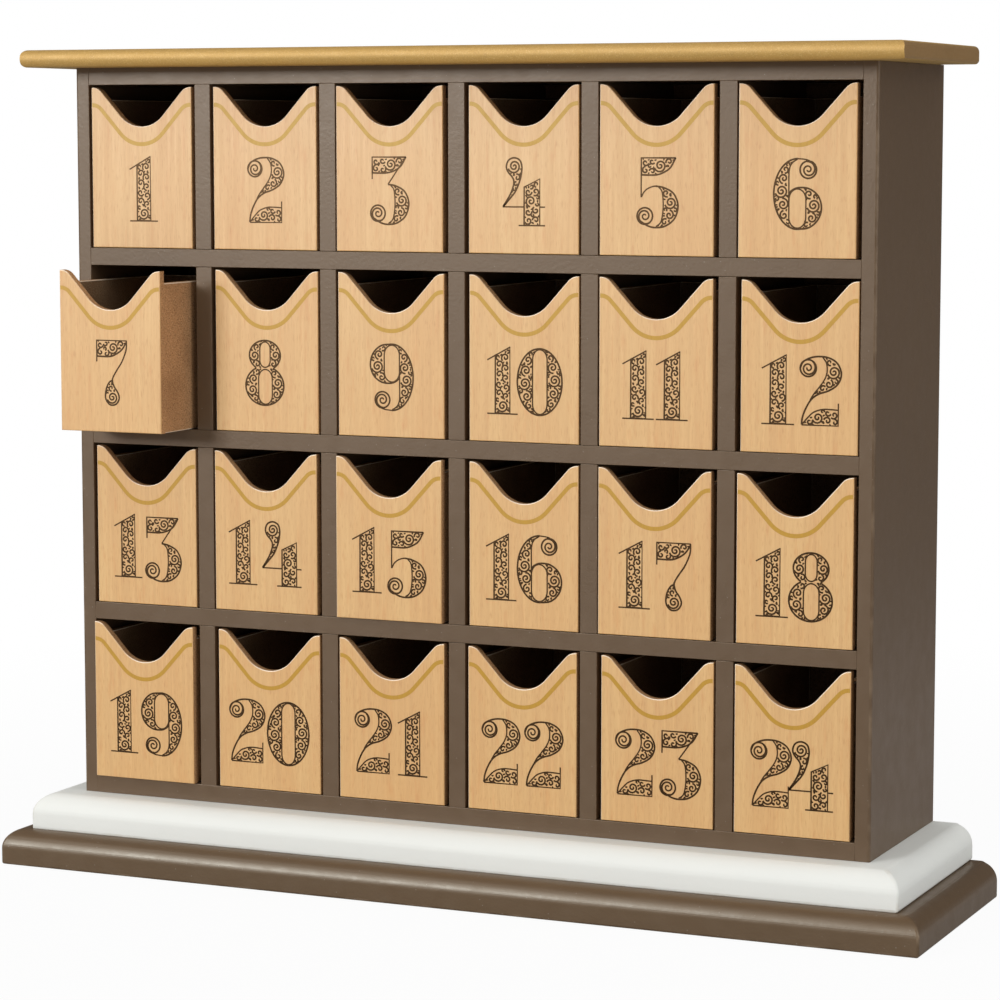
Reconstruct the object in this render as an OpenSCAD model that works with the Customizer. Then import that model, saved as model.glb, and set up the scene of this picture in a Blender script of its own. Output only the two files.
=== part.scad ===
// Wooden advent calendar: a cabinet of small numbered drawers, one for each day,
// on a stepped plinth and under a rounded top board.
// X runs to the right, Y to the back and Z up. The origin is the middle of the underside.

/* [Openings] */
// Width of one drawer opening
opening_w = 42; // [36:0.5:50]
// Height of one drawer opening
opening_h = 56.6; // [46:0.1:70]
// Depth of the cabinet from front to back
cabinet_d = 72; // [56:1:90]

/* [Cabinet panels] */
// Thickness of the upright dividers
divider_t = 6; // [4:0.5:9]
// Thickness of the shelves
shelf_t = 6; // [4:0.5:9]
// Thickness of the side panels
side_t = 5.2; // [4.5:0.1:10]
// Thickness of the roof panel
roof_t = 5.9; // [4.5:0.1:10]
// Thickness of the floor panel
floor_t = 6; // [5.5:0.1:10]
// Thickness of the back panel
back_t = 3; // [2:0.5:5]
// Depth of the housings that hold the ends of the shelves and dividers
housing = 2; // [1:0.25:2.5]
// Length at the front where a housing stops, so that it stays out of sight
housing_stop = 5; // [3:0.5:12]
// How far the back panel reaches into each side panel
rebate = 2.5; // [1.5:0.25:3.5]

/* [Top board] */
// Thickness of the top board, which is also the diameter of its rounded front edge
board_t = 6; // [4:0.1:12]
// Overhang of the top board at each side
board_side = 12.8; // [6:0.1:20]
// Overhang of the top board at the front
board_front = 15.9; // [6:0.1:24]
// How far the top board stops short of the back
board_back = 3.5; // [0:0.5:8]
// Radius of the upper edge at the ends of the top board
board_end_top = 2; // [0.5:0.1:2]
// Radius of the lower edge at the ends of the top board
board_end_low = 1.4; // [0.5:0.1:1.8]

/* [Plinth] */
// Height of the upper plinth board
upper_h = 12.3; // [9:0.1:20]
// Overhang of the upper plinth board at each side
upper_side = 14; // [9:0.1:20]
// Overhang of the upper plinth board at the front
upper_front = 13.8; // [9:0.1:18]
// Radius of the rounded edge of the upper plinth board
upper_round = 7; // [2:0.25:8]
// Height of the lower plinth board
lower_h = 12.3; // [9:0.1:20]
// Overhang of the lower plinth board at each side
lower_side = 22.8; // [20:0.1:36]
// Overhang of the lower plinth board at the front
lower_front = 20.4; // [18:0.1:36]
// Radius of the rounded edge of the lower plinth board
lower_round = 6.5; // [2:0.25:8]

/* [Drawers] */
// Thickness of a drawer front
front_t = 3; // [2:0.5:5]
// Thickness of a drawer's side and back walls
wall_t = 3; // [2:0.5:5]
// Thickness of a drawer's floor
bottom_t = 3; // [2:0.5:5]
// How far the walls of a drawer stay below the tips of its front
wall_drop = 4.2; // [1:0.1:12]
// How far the walls of a drawer stand in from the edges of its front
wall_inset = 0.4; // [0:0.1:2]
// Depth of the finger scoop below the tips of a drawer front
scoop_d = 13.5; // [9:0.1:18]
// Radius of the hollow of the finger scoop
scoop_r = 11.3; // [8:0.1:12]
// Radius of the rounded tips at both sides of the finger scoop
tip_r = 4.6; // [2.5:0.1:5]
// Distance from the edge of a drawer front to the top of its tip
tip_in = 0.5; // [0:0.1:2]
// Number of the drawer that stands open
open_day = 7; // [1:1:24]
// How far that drawer is pulled out
open_by = 21.6; // [0:0.1:50]
// How far a drawer that isn't quite shut stands out
ajar_by = 1.2; // [0:0.1:5]

/* [Clearances] */
// Gap at each side of a drawer that stands in the middle of its opening
side_play = 1.2; // [0.4:0.05:2]
// Gap above the tips of a drawer front
head_gap = 0.9; // [0.3:0.1:3]
// Gap under a drawer
seat_gap = 0.2; // [0.1:0.05:0.5]
// Gap behind a closed drawer
tail_gap = 0.5; // [0.2:0.1:3]
// How far a closed drawer front lies behind the front of the cabinet
front_set = 0; // [0:0.1:2]
// Gap of a board in the slot or housing that it slides into
slot_gap = 0.1; // [0.05:0.05:0.3]
// Thickness of the glue line between the boards of a drawer
glue_t = 0.05; // [0.02:0.01:0.15]

/* [Fasteners] */
// Diameter of the screws that hold the plinth
screw_d = 3.5; // [2.5:0.1:4.5]
// Diameter of a screw head
screw_head_d = 7; // [6:0.1:9]
// How far a screw head is sunk into the underside
screw_sink = 1; // [0.5:0.1:2]
// How far a screw bites into the floor panel
screw_bite = 4.5; // [3:0.1:5]
// Distance from a screw to the front or back edge of the floor panel
screw_edge = 16; // [10:1:24]
// Diameter of the pins that hold the back panel
pin_d = 1.2; // [0.8:0.1:2]
// Diameter of a pin's head
pin_head_d = 2.4; // [2.2:0.1:3.5]
// Length of a pin under its head
pin_len = 12; // [8:0.5:16]
// Gap around a screw or pin in its hole
hole_gap = 0.05; // [0.02:0.01:0.1]

/* [Hidden] */
$fn = 96;

// The grid holds one drawer for each day up to the feast
cols = 6;
rows = 4;
days = cols * rows;

// Place of each drawer in its side play, from -1 at the left to 1 at the right, row by row
lean = [
    -0.1, 0.05, -0.65, 0.3, -0.55, -0.55,
    -0.8, 0.25, -0.3, 0.45, -0.55, 0.55,
    0.15, -0.5, -0.8, 0.4, -0.7, -0.3,
    -0.8, 0.25, -0.5, 0, 0.4, -0.5
];

// Days whose drawers aren't quite shut
ajar_days = [15, 19];

// Cabinet
cab_w = cols * opening_w + (cols - 1) * divider_t + 2 * side_t;
cab_h = rows * opening_h + (rows - 1) * shelf_t + roof_t + floor_t;
inner_w = cab_w - 2 * side_t;
base_w = cab_w + 2 * lower_side;
base_d = cabinet_d + lower_front;
back_y = base_d / 2;
front_y = back_y - cabinet_d;
panel_d = cabinet_d - back_t;
panel_back_y = front_y + panel_d;
lap_y = front_y + panel_d / 2;
cab_z = lower_h + upper_h;
floor_z = cab_z + floor_t;
top_z = cab_z + cab_h;
roof_z = top_z - roof_t;

// Drawers
front_w = opening_w - 2 * side_play;
front_h = opening_h - seat_gap - head_gap;
drawer_d = panel_d - front_set - tail_gap;
wall_h = front_h - wall_drop;
tray_w = front_w - 2 * wall_inset;
tray_y = front_t + glue_t;

// Fasteners: the columns that have a screw or a pin, and their lengths
fixing_cols = [0, 2, 3, 5];
screw_len = cab_z - screw_sink + screw_bite;
screw_tip = 3;
screw_cone = (screw_head_d - screw_d) / 2;
recess_w = 1;
recess_l = 4;
recess_d = 1.4;
pin_head_t = 0.6;

// Overlap of a cut past the face that it opens
past = 1;

// Middle of a column, bottom of a row's openings, middle of a divider and underside of a shelf
function column_x(c) = -cab_w / 2 + side_t + opening_w / 2 + c * (opening_w + divider_t);
function row_z(r) = roof_z - (r + 1) * opening_h - r * shelf_t;
function divider_x(c) = column_x(c) + (opening_w + divider_t) / 2;
function shelf_z(r) = row_z(r) - shelf_t;

// Column and row of a day's drawer, and where its front's lower edge lies
function day_col(n) = (n - 1) % cols;
function day_row(n) = floor((n - 1) / cols);
function day_x(n) = column_x(day_col(n)) + lean[n - 1] * side_play;
function pulled(n) = n == open_day ? open_by : len(search(n, ajar_days)) > 0 ? ajar_by : 0;
function day_y(n) = front_y + front_set - pulled(n);
function day_z(n) = row_z(day_row(n)) + seat_gap;
function two(n) = n < 10 ? str("0", n) : str(n);

// Colours
taupe = [0.42, 0.37, 0.31];
umber = [0.39, 0.32, 0.25];
white = [0.90, 0.90, 0.87];
gold = [0.74, 0.58, 0.31];
beech = [0.90, 0.75, 0.55];
raw_board = [0.55, 0.40, 0.27];
steel = [0.70, 0.70, 0.68];

// A block between two corners
module block(low, high) {
    translate(low) cube(high - low);
}

// A flat outline in X and Z, drawn out along Y between two places
module along_y(y0, y1) {
    translate([0, y1, 0]) rotate([90, 0, 0]) linear_extrude(y1 - y0) children();
}

// A flat outline in Y and Z, drawn out along X between two places
module along_x(x0, x1) {
    translate([x0, 0, 0]) rotate([90, 0, 90]) linear_extrude(x1 - x0) children();
}

// Half of a board's section, square at the start and rounded over at its far top edge
module rounded_half(reach, h, r) {
    square([reach - r, h]);
    square([reach, h - r]);
    translate([reach - r, h - r]) intersection() {
        circle(r);
        square(r);
    }
}

// A plinth board, rounded over at the front and both sides and square at the back
module plinth_board(w, front, h, r) {
    intersection() {
        along_y(front, back_y) {
            rounded_half(w / 2, h, r);
            mirror([1, 0]) rounded_half(w / 2, h, r);
        }
        along_x(-w / 2, w / 2) translate([back_y, 0]) mirror([1, 0]) rounded_half(back_y - front, h, r);
    }
}

// Section of a board between two places, fully rounded at the first and square at the second
module bullnose(a, b, t) {
    translate([a + t / 2, 0]) square([b - a - t / 2, t]);
    translate([a + t / 2, t / 2]) circle(d = t);
}

// Half of a board's section, square at the start, with a small round at both edges of its far end
module eased_half(reach, t, top, low) {
    square([reach - top, t]);
    square([reach - low, t - top]);
    translate([0, low]) square([reach, t - top - low]);
    translate([reach - top, t - top]) circle(top);
    translate([reach - low, low]) circle(low);
}

// Puts a copy at each screw, with the underside of the plinth at zero
module at_screws() {
    for (c = fixing_cols, y = [front_y + screw_edge, panel_back_y - screw_edge])
        translate([column_x(c), y, 0]) children();
}

// Puts a copy at each pin of one row, pointing from the back of the cabinet to its front
module at_pin_row(z) {
    for (c = fixing_cols)
        translate([column_x(c), back_y, z]) rotate([90, 0, 0]) children();
}

// Puts a copy at each pin of the back panel
module at_pins() {
    at_pin_row(top_z - roof_t / 2) children();
    at_pin_row(cab_z + floor_t / 2) children();
    for (r = [0:rows - 2]) at_pin_row(shelf_z(r) + shelf_t / 2) children();
}

// Room for a pin's shank and head
module pin_hole() {
    translate([0, 0, -past]) cylinder(d = pin_d + 2 * hole_gap, h = pin_head_t + pin_len + hole_gap + past);
    translate([0, 0, -past]) cylinder(d = pin_head_d + 2 * hole_gap, h = pin_head_t + past);
}

// The wide lower board of the stepped plinth, with sunk holes for the screws
module lower_plinth() {
    color(umber) difference() {
        plinth_board(base_w, -back_y, lower_h, lower_round);
        at_screws() {
            translate([0, 0, -past]) cylinder(d = screw_d + 2 * hole_gap, h = lower_h + 2 * past);
            translate([0, 0, -past]) cylinder(d = screw_head_d + 2 * hole_gap, h = screw_sink + past);
            translate([0, 0, screw_sink])
                cylinder(r1 = screw_head_d / 2 + hole_gap, r2 = screw_d / 2 + hole_gap, h = screw_cone);
        }
    }
}

// The narrower upper board of the stepped plinth
module upper_plinth() {
    color(white) difference() {
        translate([0, 0, lower_h]) plinth_board(cab_w + 2 * upper_side, front_y - upper_front, upper_h, upper_round);
        at_screws() translate([0, 0, lower_h - past]) cylinder(d = screw_d + 2 * hole_gap, h = upper_h + 2 * past);
    }
}

// A housing for a divider's end, cut into the roof or floor from a given height upwards
module divider_housings(z, h) {
    for (c = [0:cols - 2])
        block(
            [divider_x(c) - divider_t / 2 - slot_gap, front_y + housing_stop - slot_gap, z],
            [divider_x(c) + divider_t / 2 + slot_gap, panel_back_y + past, z + h]
        );
}

// The panel under the bottom row
module cabinet_floor() {
    color(taupe) difference() {
        block([-inner_w / 2, front_y, cab_z], [inner_w / 2, panel_back_y, floor_z]);
        divider_housings(floor_z - housing, housing + past);
        at_screws() translate([0, 0, cab_z - past]) cylinder(d = screw_d + 2 * hole_gap, h = screw_bite + hole_gap + past);
        at_pin_row(cab_z + floor_t / 2) pin_hole();
    }
}

// The panel over the top row
module cabinet_roof() {
    color(taupe) difference() {
        block([-inner_w / 2, front_y, roof_z], [inner_w / 2, panel_back_y, top_z]);
        divider_housings(roof_z - past, past + housing + slot_gap);
        at_pin_row(top_z - roof_t / 2) pin_hole();
    }
}

// The right side panel, with housings for the shelves and a rebate for the back panel
module side_panel() {
    difference() {
        block([inner_w / 2, front_y, cab_z], [cab_w / 2, back_y, top_z]);
        block([inner_w / 2 - past, panel_back_y, cab_z - past], [inner_w / 2 + rebate, back_y + past, top_z + past]);
        for (r = [0:rows - 2])
            block(
                [inner_w / 2 - past, front_y + housing_stop - slot_gap, shelf_z(r)],
                [inner_w / 2 + housing + slot_gap, back_y + past, shelf_z(r) + shelf_t + slot_gap]
            );
    }
}

module right_side() {
    color(taupe) side_panel();
}

module left_side() {
    color(taupe) mirror([1, 0, 0]) side_panel();
}

// The thin panel that closes the back, let into the side panels
module back_panel() {
    reach = inner_w / 2 + rebate - slot_gap;
    color(raw_board) difference() {
        block([-reach, panel_back_y, cab_z], [reach, back_y, top_z]);
        at_pins() pin_hole();
    }
}

// The shelves run through at the front and are slotted from the back for the dividers
module shelves() {
    color(taupe) for (r = [0:rows - 2])
        difference() {
            union() {
                block([-inner_w / 2, front_y, shelf_z(r)], [inner_w / 2, panel_back_y, shelf_z(r) + shelf_t]);
                block(
                    [-inner_w / 2 - housing, front_y + housing_stop, shelf_z(r)],
                    [inner_w / 2 + housing, panel_back_y, shelf_z(r) + shelf_t]
                );
            }
            for (c = [0:cols - 2])
                block(
                    [divider_x(c) - divider_t / 2 - slot_gap, lap_y, shelf_z(r) - past],
                    [divider_x(c) + divider_t / 2 + slot_gap, panel_back_y + past, shelf_z(r) + shelf_t + past]
                );
            at_pin_row(shelf_z(r) + shelf_t / 2) pin_hole();
        }
}

// The dividers are slotted from the front, so that they lap half-way into the shelves
module dividers() {
    color(taupe) for (c = [0:cols - 2])
        difference() {
            union() {
                block(
                    [divider_x(c) - divider_t / 2, front_y, floor_z],
                    [divider_x(c) + divider_t / 2, panel_back_y, roof_z]
                );
                block(
                    [divider_x(c) - divider_t / 2, front_y + housing_stop, floor_z - housing],
                    [divider_x(c) + divider_t / 2, panel_back_y, roof_z + housing]
                );
            }
            for (r = [0:rows - 2])
                block(
                    [divider_x(c) - divider_t / 2 - past, front_y - past, shelf_z(r) - slot_gap],
                    [divider_x(c) + divider_t / 2 + past, lap_y, shelf_z(r) + shelf_t + slot_gap]
                );
        }
}

// The top board, with a fully rounded front edge, eased ends and a square back
module top_board() {
    reach = cab_w / 2 + board_side;
    front = front_y - board_front;
    back = back_y - board_back;
    color(gold) translate([0, 0, top_z]) intersection() {
        along_y(front, back) {
            eased_half(reach, board_t, board_end_top, board_end_low);
            mirror([1, 0]) eased_half(reach, board_t, board_end_top, board_end_low);
        }
        along_x(-reach, reach) bullnose(front, back, board_t);
    }
}

// Countersunk screws that come up through both plinth boards into the floor panel
module plinth_screws() {
    color(steel) at_screws() translate([0, 0, screw_sink]) difference() {
        rotate_extrude() polygon([
            [0, 0],
            [screw_head_d / 2, 0],
            [screw_d / 2, screw_cone],
            [screw_d / 2, screw_len - screw_tip],
            [0, screw_len]
        ]);
        for (turn = [0, 90])
            rotate(turn) translate([0, 0, recess_d / 2 - past / 2]) cube([recess_l, recess_w, recess_d + past], center = true);
    }
}

// Flat-headed pins that hold the back panel to the roof, the floor and the shelves
module back_pins() {
    color(steel) at_pins() rotate_extrude() polygon([
        [0, 0],
        [pin_head_d / 2, 0],
        [pin_head_d / 2, pin_head_t],
        [pin_d / 2, pin_head_t],
        [pin_d / 2, pin_head_t + pin_len - pin_d],
        [0, pin_head_t + pin_len]
    ]);
}

// Where the straight flank of the scoop leaves the tip's arc and meets the hollow's arc
tip_c = [front_w / 2 - tip_in, front_h - tip_r];
scoop_c = [0, front_h - scoop_d + scoop_r];
flank_v = scoop_c - tip_c;
flank_turn = atan2(flank_v[1], flank_v[0]) - acos((tip_r + scoop_r) / norm(flank_v));
flank_n = [cos(flank_turn), sin(flank_turn)];
flank_top = tip_c + tip_r * flank_n;
flank_low = scoop_c - scoop_r * flank_n;

// Outline of a drawer front: a plate whose top edge dips in a wave between two rounded tips
module front_outline() {
    intersection() {
        translate([-front_w / 2, 0]) square([front_w, front_h]);
        difference() {
            union() {
                polygon([
                    [-front_w / 2, 0], [front_w / 2, 0], [front_w / 2, tip_c[1]], tip_c, flank_top, flank_low,
                    [-flank_low[0], flank_low[1]], [-flank_top[0], flank_top[1]], [-tip_c[0], tip_c[1]],
                    [-front_w / 2, tip_c[1]]
                ]);
                translate(tip_c) circle(tip_r);
                translate([-tip_c[0], tip_c[1]]) circle(tip_r);
            }
            translate(scoop_c) circle(scoop_r);
        }
    }
}

// The front of one day's drawer
module drawer_front(n) {
    color(beech) translate([day_x(n), day_y(n), day_z(n)]) along_y(0, front_t) front_outline();
}

// The open box behind one day's drawer front: two side walls, a back wall and a floor, glued together
module drawer_tray(n) {
    outer = tray_w / 2;
    inner = outer - wall_t;
    color(raw_board) translate([day_x(n), day_y(n), day_z(n)]) {
        block([-outer, tray_y, 0], [-inner, drawer_d, wall_h]);
        block([inner, tray_y, 0], [outer, drawer_d, wall_h]);
        block([-inner + glue_t, drawer_d - wall_t, 0], [inner - glue_t, drawer_d, wall_h]);
        block([-inner + glue_t, tray_y, 0], [inner - glue_t, drawer_d - wall_t - glue_t, bottom_t]);
    }
}

lower_plinth();
upper_plinth();
cabinet_floor();
cabinet_roof();
left_side();
right_side();
back_panel();
shelves();
dividers();
top_board();
plinth_screws();
back_pins();
for (n = [1:days]) {
    drawer_front(n);
    drawer_tray(n);
}
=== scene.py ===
# %% [markdown]
# # A wooden advent calendar
# The real object is a small painted cabinet with 24 drawers, one for each day, on a stepped plinth and
# under a gold board. The CAD frame already gives every board its exact place, so this lesson only dresses
# it: eased edges, veneer, paint, painted wave lines and printed day numbers. Lengths are metres in the
# CAD's frame; drawings that are easier to read in millimetres are multiplied by mm.

import math

import bmesh
import bpy
import numpy as np
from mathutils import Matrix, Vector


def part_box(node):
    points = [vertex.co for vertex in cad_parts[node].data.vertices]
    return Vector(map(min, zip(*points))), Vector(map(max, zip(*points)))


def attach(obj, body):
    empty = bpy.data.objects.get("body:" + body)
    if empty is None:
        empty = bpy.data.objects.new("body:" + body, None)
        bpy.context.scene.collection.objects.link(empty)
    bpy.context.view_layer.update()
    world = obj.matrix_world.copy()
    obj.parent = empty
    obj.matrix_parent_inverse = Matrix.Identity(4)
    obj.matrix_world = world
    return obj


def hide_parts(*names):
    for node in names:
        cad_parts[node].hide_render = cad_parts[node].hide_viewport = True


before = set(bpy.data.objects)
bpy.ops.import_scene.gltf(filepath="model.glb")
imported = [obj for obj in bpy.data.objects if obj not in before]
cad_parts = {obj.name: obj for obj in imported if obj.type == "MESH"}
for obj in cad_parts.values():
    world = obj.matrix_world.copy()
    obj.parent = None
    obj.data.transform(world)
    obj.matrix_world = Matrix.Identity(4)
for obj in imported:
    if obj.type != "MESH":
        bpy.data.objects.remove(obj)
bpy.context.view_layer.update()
mm = 0.001

# %% [markdown]
# ## The camera
# The photograph was taken a little from the right and from just above the middle of the cabinet. A camera
# can be found by eye, or fitted to the straight edges of the boards. Fitting is exact, and was done
# beforehand, so the place, the two turns and the lens are all that is set here. The long lens keeps the
# edges nearly parallel.

# %% Set up the camera
scene = bpy.context.scene


def placed_object(name, data):
    """An object in the scene, for a mesh, a lamp or a camera."""
    made = bpy.data.objects.new(name, data)
    scene.collection.objects.link(made)
    return made


lens = bpy.data.cameras.new("photo_camera")
lens.sensor_width = 36
lens.lens = 119.0034
lens.clip_start = 0.05
look_down = 6.292
look_left = 23.892
camera = placed_object("photo_camera", lens)
camera.location = (0.4608, -1.030056, 0.257496)
camera.rotation_euler = (math.radians(90 - look_down), 0, math.radians(look_left))
scene.camera = camera
scene.view_settings.view_transform = "Standard"
print("camera", [round(v, 4) for v in camera.location], "lens", round(lens.lens, 2), "mm")

# %% [markdown]
# ## Small tools for nodes
# Materials, groups and the studio are all node trees. Making each node takes several lines of code, so a
# few helpers keep the next cells readable: one feeds a node's inputs with values or links, one makes the
# node, and the others are the nodes of every day. Colours are written as the familiar 0 to 255 numbers
# and turned into the linear values that Blender works with.


# %% Make and feed nodes
def linear(*rgb):
    """A colour in the usual 0 to 255 numbers, as linear red, green, blue and alpha."""
    parts = [v / 255 for v in rgb]
    return tuple(v / 12.92 if v <= 0.04045 else ((v + 0.055) / 1.055) ** 2.4 for v in parts) + (1.0,)


def feed(tree, made, inputs):
    """Sets a node's inputs to values or links them to sockets, by the input's name or number."""
    for name, value in inputs.items():
        if isinstance(value, bpy.types.NodeSocket):
            tree.links.new(value, made.inputs[name])
        else:
            made.inputs[name].default_value = value
    return made


def node(tree, kind, inputs=None, **settings):
    """Makes a node with its own settings, and feeds it."""
    made = tree.nodes.new(kind)
    for name, value in settings.items():
        setattr(made, name, value)
    return feed(tree, made, inputs or {})


print("middle grey as a linear value", round(linear(128, 128, 128)[0], 3))


# %% Everyday nodes
def math_node(tree, operation, *values):
    """One sum on values or sockets."""
    return node(tree, "ShaderNodeMath", dict(enumerate(values)), operation=operation).outputs[0]


def times(tree, first, second):
    """The commonest sum, a product."""
    return math_node(tree, "MULTIPLY", first, second)


def scaled(tree, vector, x, y, z):
    """A vector stretched by three factors, in cells of pattern per metre."""
    return node(tree, "ShaderNodeVectorMath", {0: vector, 1: (x, y, z)}, operation="MULTIPLY").outputs[0]


def blended(tree, share, first, second, how="MIX"):
    """Two colours mixed by a share."""
    inputs = {0: share, 6: first, 7: second}
    return node(tree, "ShaderNodeMix", inputs, data_type="RGBA", blend_type=how).outputs[2]


def ramped(tree, value, low, high, out_low=0.0, out_high=1.0):
    """A value brought from one range to another, and kept inside it."""
    inputs = {"Value": value, "From Min": low, "From Max": high, "To Min": out_low, "To Max": out_high}
    return node(tree, "ShaderNodeMapRange", inputs).outputs[0]


def stained(tree, base, pattern, low, high, most, colour):
    """A colour that comes in where a pattern runs from low to high, up to a share."""
    return blended(tree, ramped(tree, pattern, low, high, 0.0, most), base, colour)


def noise(tree, vector, scale, detail, distortion=0.0):
    """A soft random pattern with so many cells to the unit."""
    inputs = {"Vector": vector, "Scale": scale, "Detail": detail, "Distortion": distortion}
    return node(tree, "ShaderNodeTexNoise", inputs).outputs["Fac"]


def mixed(tree, share, first, second):
    """Two shaders mixed by a share."""
    return node(tree, "ShaderNodeMixShader", {0: share, 1: first, 2: second}).outputs[0]


def face_mark(tree, name):
    """A value that the mesh carries on its own faces."""
    return node(tree, "ShaderNodeAttribute", attribute_name=name).outputs["Fac"]


helpers = (math_node, times, scaled, blended, ramped, stained, noise, mixed, face_mark)
print("helpers:", ", ".join(helper.__name__ for helper in helpers))

# %% [markdown]
# ## The studio
# The photograph has a white ground and one large soft light on the left. A white surround that lit the
# boards from everywhere would make them flat, so the surround is plain white only to the camera and to
# glass. Gloss sees it dimmer, as the dark end of a studio, with a bright soft box on the left, about 32
# degrees up. The light that falls on the boards comes from a weak surround, brightest overhead, and two
# lamps.

# %% The surround
world = bpy.data.worlds.new("studio_surround")
scene.world = world
world.use_nodes = True
tree = world.node_tree
tree.nodes.clear()
white = (1, 1, 1, 1)
looking = node(tree, "ShaderNodeTexCoord").outputs["Generated"]


def towards(across, up):
    """How nearly a ray looks a number of degrees to the left of the front and up, from -1 to 1."""
    a, b = math.radians(across), math.radians(up)
    aim = (-math.sin(a) * math.cos(b), -math.cos(a) * math.cos(b), math.sin(b))
    nearness = node(tree, "ShaderNodeVectorMath", {0: looking, 1: aim}, operation="DOT_PRODUCT")
    return nearness.outputs["Value"]


def white_light(strength):
    """A white surround of some strength."""
    return node(tree, "ShaderNodeBackground", {"Color": white, "Strength": strength}).outputs[0]


box_rim = math.cos(math.radians(28))
box_core = math.cos(math.radians(5))
dim_wall = ramped(tree, towards(35, 0), -0.6, 0.8, 0.08, 0.2)
soft_box = ramped(tree, towards(31, 32), box_rim, box_core, 0.0, 3.6)
for_gloss = white_light(math_node(tree, "ADD", dim_wall, soft_box))
overhead = node(tree, "ShaderNodeSeparateXYZ", {0: looking}).outputs["Z"]
for_boards = white_light(ramped(tree, overhead, 0.2, 1.0, 0.2, 1.25))
for_camera = white_light(1.0)
rays = node(tree, "ShaderNodeLightPath").outputs
bounced = mixed(tree, rays["Is Glossy Ray"], for_boards, for_gloss)
straight_on = math_node(tree, "MAXIMUM", rays["Is Camera Ray"], rays["Is Transmission Ray"])
surround = mixed(tree, straight_on, bounced, for_camera)
node(tree, "ShaderNodeOutputWorld", {"Surface": surround})
print("surround:", len(tree.nodes), "nodes")

# %% [markdown]
# ## The floor
# The cabinet stands on white paper that fades into the white ground, with only a hint of shade beside the
# plinth. Paper lit by the lamps alone would come out grey and show an edge. So the floor glows white to
# whatever looks at it, a little matt paper shows through near the cabinet, where the shade falls, and
# gloss sees the glow dimmed.

# %% The floor
floor_reach = 8.0
floor_corners = [(x * floor_reach, y * floor_reach, 0) for x, y in ((-1, -1), (1, -1), (1, 1), (-1, 1))]
floor_mesh = bpy.data.meshes.new("studio_floor")
floor_mesh.from_pydata(floor_corners, [], [(0, 1, 2, 3)])
floor = placed_object("studio_floor", floor_mesh)
floor.location.z = -0.2 * mm
paper = bpy.data.materials.new("white_paper")
paper.use_nodes = True
tree = paper.node_tree
tree.nodes.clear()
matt = node(tree, "ShaderNodeBsdfDiffuse", {"Color": (0.6, 0.6, 0.6, 1)}).outputs[0]
spot = node(tree, "ShaderNodeNewGeometry").outputs["Position"]
away = node(tree, "ShaderNodeVectorMath", {0: spot}, operation="LENGTH").outputs["Value"]
sideways = node(tree, "ShaderNodeSeparateXYZ", {0: spot}).outputs["X"]
rays = node(tree, "ShaderNodeLightPath").outputs
dim_nearby = ramped(tree, sideways, 0.12, 0.3, 0.8, 0.5)
dimmer = times(tree, rays["Is Glossy Ray"], ramped(tree, away, 0.35, 0.9, dim_nearby, 0.86))
brightness = math_node(tree, "SUBTRACT", 1.0, dimmer)
glow = node(tree, "ShaderNodeEmission", {"Color": white, "Strength": brightness}).outputs[0]
looked_at = math_node(tree, "MAXIMUM", rays["Is Camera Ray"], rays["Is Glossy Ray"])
looked_at = math_node(tree, "MAXIMUM", looked_at, rays["Is Transmission Ray"])
glow_share = times(tree, looked_at, ramped(tree, away, 0.25, 0.6, 0.95, 1.0))
node(tree, "ShaderNodeOutputMaterial", {"Surface": mixed(tree, glow_share, matt, glow)})
floor_mesh.materials.append(paper)
print("floor", 2 * floor_reach, "m wide")

# %% [markdown]
# ## The lamps
# The shadows in the drawers show where the light came from: the front left, a little above the cabinet,
# and much weaker from the right. Two soft boxes do that. Their size sets how soft a shadow's edge is, and
# their watts how light a face becomes, so a helper takes a place, something to aim at, a size and the
# watts.


# %% The lamps
def soft_lamp(name, place, aim, width, height, watts):
    """A soft box that looks from its place to its aim."""
    lamp = bpy.data.lights.new(name, "AREA")
    lamp.shape = "RECTANGLE"
    lamp.size = width
    lamp.size_y = height
    lamp.energy = watts
    made = placed_object(name, lamp)
    made.location = place
    x, y, z = (aim[i] - place[i] for i in range(3))
    made.rotation_euler = (math.atan2(math.hypot(x, y), -z), 0, math.atan2(-x, y))
    return made


middle = (0, 0, 0.15)
key = soft_lamp("key_softbox", (-1.14, -2.05, 0.74), middle, width=0.75, height=0.5, watts=31)
fill = soft_lamp("fill_softbox", (1.6, -0.3, 0.6), middle, width=1.0, height=1.0, watts=7)
print("lamps", key.data.energy, "and", fill.data.energy, "watts")

# %% [markdown]
# ## Effects that several finishes share
# Sprayed paint has a slight cloudiness, a fine orange-peel skin and a few specks of dust. Edges of
# painted boards are rubbed a little by hands. Fibre board shows short fibres and dots wherever it is
# bare. These could be painted pictures, but noise needs no seams and stays sharp near by. Each effect is
# one node group with named inputs, so that every finish can use it at its own strength.


# %% Sprayed skin
def new_group(name, inputs, outputs, tree_kind="ShaderNodeTree"):
    """An empty node group with named sockets, and its input sockets and output node."""
    group = bpy.data.node_groups.new(name, tree_kind)
    for way, sockets in (("INPUT", inputs), ("OUTPUT", outputs)):
        for label, kind in sockets:
            group.interface.new_socket(name=label, in_out=way, socket_type="NodeSocket" + kind)
    return group, group.nodes.new("NodeGroupInput").outputs, group.nodes.new("NodeGroupOutput")


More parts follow.
